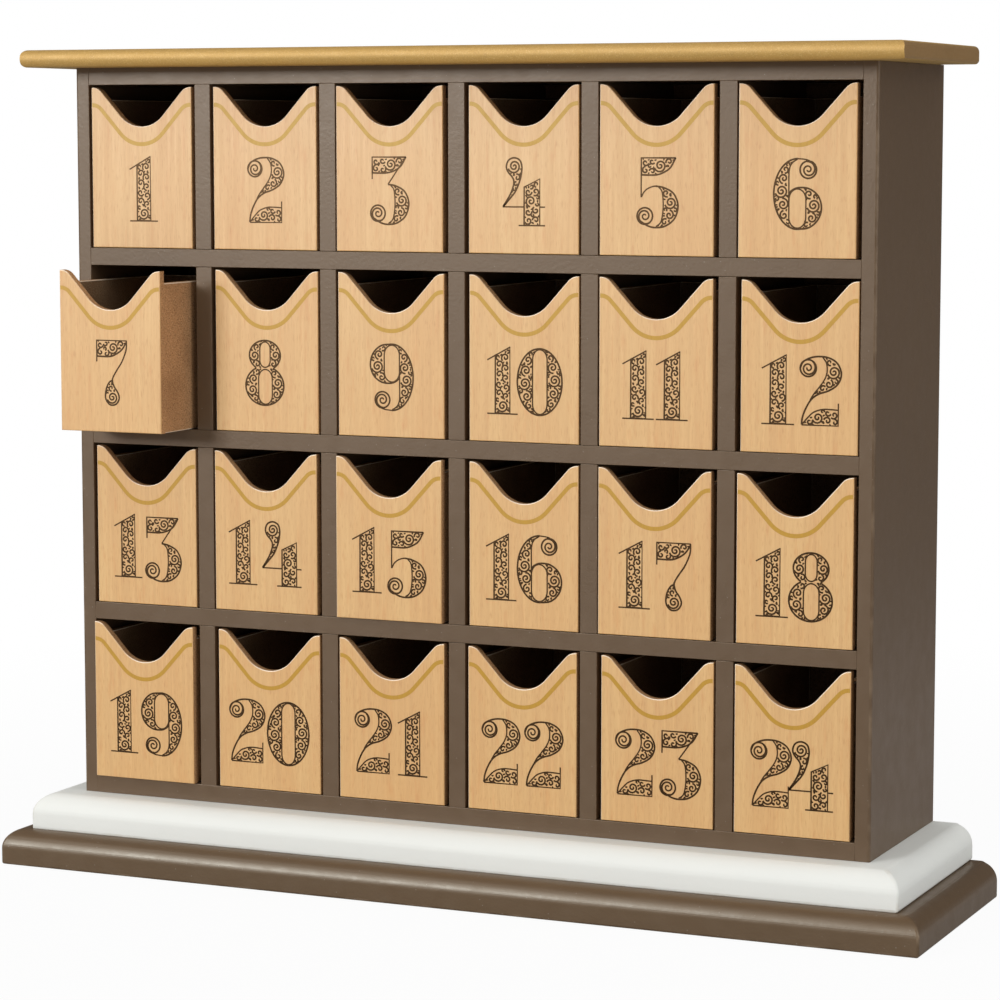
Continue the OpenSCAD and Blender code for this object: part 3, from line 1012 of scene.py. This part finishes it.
# %% Digits 0, 6, 8 and 9
def digit_0():
    outer = ring(8.3, 11.2, 8.05, 11.05, 90, 450, 60)
    counter = lozenge(5.75, 11.0, 0.45, 21.95, 3.4)
    left = np.concatenate([ring(8.3, 11.2, 8.05, 11.05, 92, 268, 32), left_half(counter)])
    right = left * [-1, 1] + [16.65, 0]
    left_seeds = [(2.95, 10.6, 2.25), (3.4, 14.9, 1.95), (3.7, 6.4, 1.9)]
    right_seeds = [(13.7, 11.9, 2.25), (13.3, 7.5, 1.95), (13.0, 16.1, 1.9)]
    return 16.6, [(outer, bold), (counter, hair)], [(left, left_seeds), (right, right_seeds)]


def digit_6():
    back = ring(8.2, 11.3, 8.0, 11.2, 90, 270, 40)
    neck = smooth((8.2, 22.5), (11.0, 22.2), (13.0, 21.3), (14.3, 19.6))
    bowl = smooth((8.2, 0.1), (12.2, 0.7), (15.2, 3.4), (16.2, 7.2), (15.0, 10.8), (12.0, 13.0),
                  (8.5, 13.3), (6.4, 12.5), (5.4, 11.5))
    counter = lozenge(5.3, 11.0, 0.45, 12.9, 3.4)
    inner = smooth((5.25, 8.0), (5.25, 13.0), (5.3, 18.6), (6.2, 21.0), (8.0, 22.3))
    ball = ring(11.7, 19.0, 2.75, 2.75, 30, 390, 30)
    left = np.concatenate([back, [(6.2, 1.4), (5.3, 3.8)], inner])
    right = np.concatenate([bowl[:6 * span + 1], [(10.0, 12.2), (11.0, 9.6), (11.0, 3.8), (10.0, 1.2)]])
    lines = [(back, bold), (neck, 0.45), (bowl, bold), (counter, hair), (inner, hair), (ball, bold)]
    left_seeds = [(2.75, 12.2, 2.2), (3.3, 8.0, 1.95), (3.5, 16.2, 1.7)]
    right_seeds = [(13.55, 7.7, 2.3), (12.9, 3.7, 1.7)]
    return 16.4, lines, [(left, left_seeds), (right, right_seeds), (ball, 100)]


def digit_8():
    upper = ring(7.6, 17.3, 6.0, 5.15, -56, 236, 40)
    lower = ring(7.5, 6.85, 7.35, 6.7, 116, 424, 46)
    eye = lozenge(5.65, 9.65, 13.2, 21.95, 2.4)
    bowl = lozenge(5.1, 10.4, 0.5, 12.5, 3.2)
    low_left = np.concatenate([ring(7.5, 6.85, 7.35, 6.7, 112, 268, 28), left_half(bowl, 8, 8)])
    high_left = np.concatenate([ring(7.6, 17.3, 6.0, 5.15, 92, 242, 26), left_half(eye, 9, 8)])
    low_right = low_left * [-1, 1] + [15.3, 0]
    high_right = high_left * [-1, 1] + [15.3, 0]
    cells = [(low_left, [(2.7, 5.4, 2.0), (3.2, 9.2, 1.75)]), (high_left, [(3.6, 17.2, 1.85)]),
             (low_right, [(12.5, 7.9, 2.0), (12.0, 4.1, 1.75)]), (high_right, [(11.7, 17.4, 1.85)])]
    return 15.0, [(upper, bold), (lower, bold), (eye, hair), (bowl, hair)], cells


def digit_9():
    wide, lines, cells = digit_6()
    both = np.array([wide, digit_high])
    turned_cells = []
    for cell, seeds in cells:
        if isinstance(seeds, int):
            seeds = seeds + 180
        else:
            seeds = [(wide - x, digit_high - y, r) for x, y, r in seeds]
        turned_cells.append((both - cell, seeds))
    return wide, [(both - path, breadth) for path, breadth in lines], turned_cells


print("a 0 is", digit_0()[0], "mm wide and an 8", digit_8()[0], "mm")

# %% [markdown]
# ## Digits with stems, flags and bowls
# The others are built from straight stems, swinging flags, bowls and drops. The 3 and the 5 end in the
# same bowl, and the 3, the 5 and the 7 begin with the same kind of flag, so those two are functions of
# their own.


# %% Digits 1, 2 and 4
def digit_1():
    stem = straight((2.95, 0.3), (8.25, 0.3), (8.25, 22.3), (2.95, 19.6), (2.95, 0.3))
    brow = straight((0, 18.0), (3.0, 19.6), (8.4, 22.5))
    serif = straight((0, 0.15), (11.1, 0.15))
    seeds = [(5.6, 2.75, 2.1), (6.85, 6.1, 1.25), (4.35, 7.0, 1.3), (6.8, 8.9, 1.4), (4.35, 10.0, 1.3),
             (6.75, 12.1, 1.4), (4.4, 13.3, 1.35), (6.7, 15.3, 1.45), (4.4, 16.6, 1.4), (6.6, 18.9, 1.5)]
    return 11.1, [(stem, bold), (brow, hair), (serif, hair)], [(stem, seeds)]


def digit_2():
    ball = ring(2.9, 18.4, 2.7, 2.7, 90, 450, 30)
    sweep = smooth((0.2, 18.4), (1.2, 20.4), (3.6, 21.7), (6.3, 22.2), (9.6, 21.9), (12.6, 20.2),
                   (14.0, 16.8), (12.75, 13.4), (9.8, 11.35), (6.5, 10.2), (4.0, 8.4), (2.2, 5.5),
                   (1.1, 2.6), (0.8, 0.2))
    inner = smooth((7.75, 22.0), (9.0, 20.1), (9.2, 17.2), (8.3, 14.7), (6.5, 12.2), (4.8, 10.1),
                   (3.6, 8.2))
    instep = smooth((1.0, 0.4), (2.75, 2.4), (4.8, 4.3), (7.75, 5.3), (10.5, 5.35), (13.1, 5.2))
    sole = straight((0.85, 0.15), (13.1, 0.15), (13.1, 7.35))
    belly = np.concatenate([sweep[4 * span + 2:10 * span + 1], inner[::-1]])
    toe = np.concatenate([instep, [(13.1, 0.15), (0.9, 0.15)]])
    lines = [(ball, bold), (sweep, bold), (inner, hair), (instep, hair), (sole, hair)]
    toe_seeds = [(6.2, 2.6, 1.9), (9.5, 1.7, 1.3), (11.7, 3.6, 1.3), (9.6, 4.2, 1.1)]
    return 14.1, lines, [(ball, 60), (belly, [(11.5, 17.3, 2.25), (9.9, 13.5, 1.5)]), (toe, toe_seeds)]


def digit_4():
    drop = smooth((0.2, 6.3), (2.25, 9.4), (3.5, 11.9), (4.1, 14.4), (3.5, 16.1), (2.0, 17.75),
                  (1.4, 19.6), (2.2, 21.6), (4.2, 22.4), (6.2, 21.6), (6.95, 19.6), (6.8, 17.3),
                  (6.2, 14.8), (4.75, 11.5), (2.7, 9.0), (0.3, 6.3))
    stem = straight((7.8, 0.2), (13.4, 0.2), (13.4, 15.5), (7.8, 12.75), (7.8, 0.2))
    bars = [straight((0.1, 6.25), (7.8, 6.25)), straight((13.4, 6.25), (15.3, 6.25)),
            straight((5.8, 0.15), (15.3, 0.15))]
    seeds = [(9.3, 1.75, 1.35), (12.0, 2.0, 1.25), (10.2, 8.2, 1.9), (12.0, 5.2, 1.3), (9.3, 4.6, 1.3),
             (11.9, 11.3, 1.4), (9.3, 11.2, 1.3)]
    lines = [(drop, bold), (stem, bold)] + [(bar, hair) for bar in bars]
    return 15.4, lines, [(drop, [(4.2, 19.6, 2.3), (5.3, 15.9, 1.2)]), (stem, seeds)]


print("a 1 is", digit_1()[0], "mm wide and a 4", digit_4()[0], "mm")


# %% Digits 3, 5 and 7
def bowl_of_3():
    """The bowl of a 3 or 5: its two lines, its ball end, and its cell with its circles."""
    outer = smooth((6.7, 13.5), (9.5, 13.0), (12.8, 11.2), (14.4, 7.4), (13.3, 3.2), (10.2, 0.7),
                   (6.8, 0.1), (4.0, 0.6), (1.6, 2.0))
    inner = smooth((7.6, 13.3), (8.9, 11.6), (9.3, 7.5), (9.0, 3.8), (8.3, 1.6), (6.8, 0.4))
    ball = ring(2.9, 3.8, 2.7, 2.7, 210, 570, 30)
    belly = np.concatenate([outer[:6 * span + 1], inner[::-1]])
    lines = [(outer, bold), (inner, hair), (ball, bold)]
    return lines, [(belly, [(11.8, 8.2, 2.1), (11.4, 4.2, 1.6)]), (ball, 300)]


def flag(left, right, top, low, rise):
    """The flag of a 3, 5 or 7: straight above, swinging up to a point at its right below."""
    under = smooth((left + 0.1, low), (left + 5.0, low), (right - 4.2, low + 0.8),
                   (right - 1.8, low + 2.4), (right, top - rise))
    edge = np.concatenate([under, [(right, top), (left, top), (left + 0.1, low)]])
    largest = ((left + right) / 2 + 0.6, (top + low) / 2 + 0.25, 2.15)
    return edge, [largest, (left + 1.45, top - 1.5, 1.2), (left + 1.5, low + 1.5, 1.25)]


def digit_3():
    edge, seeds = flag(0.8, 13.3, 22.6, 17.3, 0.0)
    bowl_lines, bowl_cells = bowl_of_3()
    mast = straight((0.8, 22.6), (0.8, 15.2))
    slant = straight((13.3, 22.6), (6.7, 13.5))
    return 14.6, [(edge, bold), (mast, hair), (slant, hair)] + bowl_lines, [(edge, seeds)] + bowl_cells


def digit_5():
    edge, seeds = flag(1.6, 13.5, 22.6, 17.1, 0.0)
    bowl_lines, bowl_cells = bowl_of_3()
    mast = straight((1.6, 22.6), (1.6, 9.85))
    rise = smooth((1.7, 9.9), (2.6, 11.6), (4.3, 12.9), (6.7, 13.5), (9.5, 13.0))
    return 14.5, [(edge, bold), (mast, hair), (rise, hair)] + bowl_lines, [(edge, seeds)] + bowl_cells


def digit_7():
    edge, seeds = flag(0.4, 12.1, 22.35, 16.85, 0.6)
    mast = straight((0.4, 22.35), (0.4, 15.0))
    neck = smooth((12.2, 22.35), (12.1, 19.6), (11.25, 17.1), (10.0, 14.6), (8.3, 12.2), (6.9, 10.0),
                  (6.3, 8.4))
    drop = smooth((6.3, 8.6), (5.3, 8.0), (4.3, 6.4), (3.75, 4.4), (3.8, 2.2), (5.0, 0.5), (6.5, 0.1),
                  (8.1, 0.7), (9.1, 2.6), (8.5, 4.6), (7.2, 6.4), (6.6, 8.0), (6.5, 9.4))
    lines = [(edge, bold), (mast, hair), (neck, 0.55), (drop, bold)]
    return 12.4, lines, [(edge, seeds), (drop, [(6.4, 2.75, 2.15), (6.0, 6.0, 1.1)])]


digits = [digit_0, digit_1, digit_2, digit_3, digit_4, digit_5, digit_6, digit_7, digit_8, digit_9]
print("digits:", len(digits))

# %% [markdown]
# ## Room for scrolls
# Each cell is filled with scrolls that just touch. Placing them all by hand would take hundreds of
# numbers. Only the largest are given; then the point with most room left gets the next circle, again and
# again, until the room is smaller than a pen can draw. A fine grid of points inside the cell is enough to
# find it.


# %% Fill a cell with circles
def room_in(cell, step=0.12):
    """Points inside a closed outline, and how far each is from the outline."""
    a, b = cell, np.roll(cell, -1, 0)
    xs = np.arange(cell[:, 0].min(), cell[:, 0].max(), step)
    ys = np.arange(cell[:, 1].min(), cell[:, 1].max(), step)
    p = np.stack(np.meshgrid(xs, ys), -1).reshape(-1, 2)
    above = (a[:, 1] > p[:, 1:]) != (b[:, 1] > p[:, 1:])
    slope = (b[:, 0] - a[:, 0]) / np.where(b[:, 1] == a[:, 1], 1, b[:, 1] - a[:, 1])
    cross = above & (p[:, :1] < a[:, 0] + slope * (p[:, 1:] - a[:, 1]))
    p = p[cross.sum(1) % 2 == 1]
    way = b - a
    share = ((p[:, None] - a) * way).sum(2) / np.maximum((way ** 2).sum(1), 1e-9)
    near = a + np.clip(share, 0, 1)[..., None] * way
    return p, np.sqrt(((p[:, None] - near) ** 2).sum(2).min(1))


def filled_with_circles(cell, seeds, smallest=0.33, largest=1.5, most=120):
    """The seed circles, then ever smaller ones where there is most room."""
    points, room = room_in(cell)
    circles = []

    def add(x, y, r):
        circles.append((x, y, r))
        return np.minimum(room, np.hypot(points[:, 0] - x, points[:, 1] - y) - r)

    for seed in seeds:
        room = add(*seed)
    while len(circles) < most and room.max() >= smallest:
        best = int(np.argmax(room))
        room = add(*points[best], min(room[best], largest))
    return circles


stem, stem_seeds = digit_1()[2][0]
print("circles in the stem of a 1:", len(filled_with_circles(stem, stem_seeds)))

# %% [markdown]
# ## Scrolls
# In each circle a line winds inwards, the other way round from the scroll that it branches from, as
# tendrils do. The smallest circles get a leaf instead, which is one short stroke that swells and thins. A
# ball end has a curl of its own, wound in from its outline.


# %% Scrolls
def leaf(x, y, r, start, hand, sweep=2.6):
    """A short stroke that swells and thins."""
    swell = np.array([0.6, 1.1, 1.5, 1.65, 1.5, 1.0, 0.4])
    t = np.linspace(0, 1, len(swell))
    reach = r * (1.15 - 0.9 * t)
    return on_oval(x, y, reach, reach, start + hand * sweep * t), r * swell


def tendril(x, y, r, start, hand, pitch=1.15, eye=0.12, fewest=0.85):
    """A line wound into a circle, a little bolder at its inner end."""
    turns = max(fewest, (r - 0.05) / pitch)
    steps = int(13 * turns) + 5
    t = np.linspace(0, 1, steps)
    reach = eye + (r - eye) * (1 - t)
    line = on_oval(x, y, reach, reach, start + hand * 2 * math.pi * turns * t)
    wide = np.full(steps, scroll_wide)
    wide[-3:] += [0.06, 0.12, 0.04]
    return line, wide


def scrolls(circles, smallest=0.62, first_start=math.radians(200)):
    """A tendril in each large circle, a leaf in each small one, branching from the nearest before it."""
    lines, hands = [], []
    for number, (x, y, r) in enumerate(circles):
        hand, start = 1, first_start
        if number:
            before = np.array(circles[:number])
            parent = int(np.argmin(np.hypot(before[:, 0] - x, before[:, 1] - y) - before[:, 2]))
            hand = -hands[parent]
            start = math.atan2(before[parent, 1] - y, before[parent, 0] - x)
        hands.append(hand)
        lines.append((leaf if r < smallest else tendril)(x, y, r, start, hand))
    return lines


def curl(cell, start, outer=2.7, inner=0.35, turns=1.75):
    """The line of a ball end, wound in from its outline to its middle."""
    x, y = (cell.min(0) + cell.max(0)) / 2
    t = np.linspace(0, 1, 34)
    reach = outer - (outer - inner) * t ** 0.8
    line = on_oval(x, y, reach, reach, math.radians(start) - 2 * math.pi * turns * t)
    return line, 0.62 - 0.1 * t


def drawn(digit):
    """A digit's width and all its strokes."""
    wide, lines, cells = digit()
    strokes = list(lines)
    for cell, seeds in cells:
        if isinstance(seeds, int):
            strokes.append(curl(cell, seeds))
        else:
            strokes += scrolls(filled_with_circles(cell, seeds))
    return wide, strokes


glyphs = [drawn(digit) for digit in digits]
print("strokes in each digit:", [len(strokes) for _, strokes in glyphs])

# %% [markdown]
# ## Numbers
# The numbers were printed one by one, so they aren't quite alike: the gap between two digits, the shift
# from the middle and, on three days, the drop of the second digit were measured day by day. Round digits
# reach a little below the line, as in any lettering, so that they don't look short.

# %% Numbers
pair_gap = dict(zip(range(10, 25), [
    -0.4, 0.7, 1.7, 1.25, 1.9, 2.2, 0.2, 1.95, 0.1, 1.4, 0.7, 2.35, 1.6, 1.7, -1.0,
]))
number_shift = [0.7, 0.4, 0.2, 0.2, 0.4, 0.2, 0.5, -0.8, 0.3, 0.4, -0.1, 0.8,
                0.4, -0.3, 0.2, 0.2, 0.3, 0, 0.7, -0.1, -0.3, 0.1, 0.5, 0.1]
baseline = 9.2
overshoot = 0.1
round_digits = {0, 3, 5, 6, 8, 9}
second_drop = {13: 0.8, 15: 0.9, 18: 0.8}


def number_strokes(day):
    """All strokes of a day's number, in mm from the middle of the front's lower edge."""
    values = [int(c) for c in str(day)]
    gap = pair_gap.get(day, 0)
    total = sum(glyphs[v][0] for v in values) + gap * (len(values) - 1)
    x = number_shift[day - 1] - total / 2
    strokes = []
    for place, value in enumerate(values):
        wide, lines = glyphs[value]
        below = overshoot if value in round_digits else 0
        dropped = second_drop.get(day, 0) if place else 0
        y = baseline - below - dropped
        strokes += [(path + [x, y], breadth) for path, breadth in lines]
        x += wide + gap
    return strokes


print("strokes on day 24:", len(number_strokes(24)))

# %% [markdown]
# ## Printing the numbers
# Ink lies on the veneer as a layer too thin to see from the side. Strokes that cross at exactly the same
# height would flicker, so each one lies a hair above the one before. All strokes of a number are one
# piece.

# %% Print the numbers
ink_lift = 0.012
ink_step = 0.0004
ink_thick = 0.06
for day in days:
    strokes = enumerate(number_strokes(day))
    paths = [(path, breadth, ink_lift + ink_step * order) for order, (path, breadth) in strokes]
    number = painted_strokes(f"day_number_{day:02d}", paths, front_place(day), ink_thick, number_ink)
    belongs(number, f"drawer_{day:02d}", "umber_paint")
print("numbers:", len(days), "the last with", len(number.data.polygons), "faces")

# %% [markdown]
# ## Screws and pins
# Eight screws hold the plinth from below and twenty pins hold the back. They are round, so the quickest
# way to their shape is a lathe: half of the section is drawn as radius and height, and spun round its
# middle.


# %% Turn one fastener
def turned(name, section, steps):
    """A section of (radius, height) points in mm, spun round the upright."""
    shell = bmesh.new()
    levels = []
    turns = [2 * math.pi * i / steps for i in range(steps)]
    for radius, height in section:
        around = [(math.cos(turn), math.sin(turn)) for turn in turns] if radius else [(0, 0)]
        places = [(radius * mm * x, radius * mm * y, height * mm) for x, y in around]
        levels.append([shell.verts.new(place) for place in places])
    for low, high in zip(levels, levels[1:]):
        for i in range(steps):
            j = (i + 1) % steps
            corners = [low[i % len(low)], low[j % len(low)], high[j % len(high)], high[i % len(high)]]
            shell.faces.new(list(dict.fromkeys(corners)))
    bmesh.ops.recalc_face_normals(shell, faces=shell.faces)
    mesh = bpy.data.meshes.new(name)
    shell.to_mesh(mesh)
    shell.free()
    return placed_object(name, mesh)


def fastener_section(head_r, rim, collar, shank_r, shank_end, length):
    """An eased head, the points that join it to the shank, and a tip."""
    return [(0, 0), (head_r - rim, 0), (head_r, rim), *collar, (shank_r, shank_end), (0, length)]


screw_section = fastener_section(
    head_r=3.5, rim=0.15, collar=[(1.75, 1.75)], shank_r=1.75, shank_end=25.1, length=28.1,
)
pin_section = fastener_section(
    head_r=1.2, rim=0.1, collar=[(1.2, 0.6), (0.6, 0.6)], shank_r=0.6, shank_end=11.4, length=12.6,
)
screw = turned("one_screw", screw_section, 32)
pin = turned("one_pin", pin_section, 24)
print("screw", len(screw.data.vertices), "points, pin", len(pin.data.vertices), "points")

# %% [markdown]
# ## The cross in the screw's head
# A screw is driven by a cross cut into its head. Two bars that cross are taken away from the head by a
# Boolean, once for the one screw that all eight are copies of, and the bars are thrown away afterwards.


# %% Cut the cross in the screw's head
def slot_bar(long, wide, deep):
    """A bar in mm, half above the head and half in it."""
    bar = bpy.data.meshes.new("slot_bar")
    shell = bmesh.new()
    bmesh.ops.create_cube(shell, size=1.0)
    bmesh.ops.scale(shell, vec=(long * mm, wide * mm, 2 * deep * mm), verts=shell.verts)
    shell.to_mesh(bar)
    shell.free()
    return placed_object("slot_bar", bar)


slot_long = 4.0
slot_wide = 1.0
slot_deep = 1.4
bars = [slot_bar(slot_long, slot_wide, slot_deep), slot_bar(slot_wide, slot_long, slot_deep)]
for bar in bars:
    cut = screw.modifiers.new("cut", "BOOLEAN")
    cut.operation = "DIFFERENCE"
    cut.object = bar
crossed = as_plain_mesh(screw)
screw.modifiers.clear()
screw.data = crossed
for bar in bars:
    bpy.data.objects.remove(bar)
print("screw with its cross:", len(screw.data.polygons), "faces")

# %% [markdown]
# ## Fasteners in their places
# The same small shape comes again and again, so a node tree sets one shape on a list of points and turns
# all copies alike. The screws point up from the underside; the pins are laid down to point forward from
# the back.

# %% The tree of fasteners
fastener_tree, given, result = new_group(
    "fasteners_in_place",
    [("Places", "Geometry"), ("Fastener", "Object"), ("Turn", "Rotation"), ("Finish", "Material")],
    [("Fasteners", "Geometry")],
    "GeometryNodeTree",
)
shape = node(fastener_tree, "GeometryNodeObjectInfo", {"Object": given["Fastener"]}).outputs["Geometry"]
copies = shape_step(fastener_tree, "InstanceOnPoints", {
    "Points": given["Places"], "Instance": shape, "Rotation": given["Turn"],
})
whole = shape_step(fastener_tree, "RealizeInstances", {"Geometry": copies})
plated = shape_step(fastener_tree, "SetMaterial", {"Geometry": whole, "Material": given["Finish"]})
feed(fastener_tree, result, {"Fasteners": plated})
print("fasteners_in_place:", len(fastener_tree.nodes), "nodes")


# %% Set the fasteners in place
def set_in_place(name, fastener, places, turn):
    """Copies of a fastener at places in mm, all turned alike."""
    mesh = bpy.data.meshes.new(name)
    mesh.from_pydata([[v * mm for v in place] for place in places], [], [])
    piece = worked(placed_object(name, mesh), fastener_tree, {
        "Fastener": fastener, "Turn": turn, "Finish": plated_steel,
    })
    piece.data.shade_smooth()
    piece.data.set_sharp_from_angle(angle=math.radians(30))
    return piece


columns = (-120, -24, 24, 120)
screw_rows = (-9.8, 27.2)
screw_sink = 1.0
pin_rows = (277.95, 215.4, 152.8, 90.2, 27.6)
back_face = 46.2
screw_places = [(x, y, screw_sink) for x in columns for y in screw_rows]
pin_places = [(x, back_face, z) for x in columns for z in pin_rows]
screws = set_in_place("plinth_screws_finished", screw, screw_places, (0, 0, 0))
pins = set_in_place("back_pins_finished", pin, pin_places, (math.radians(90), 0, 0))
belongs(screws, "cabinet", "steel", "plinth_screws")
belongs(pins, "cabinet", "steel", "back_pins")
for used in (screw, pin):
    bpy.data.objects.remove(used)
print("screws", len(screws.data.polygons), "faces, pins", len(pins.data.polygons), "faces")
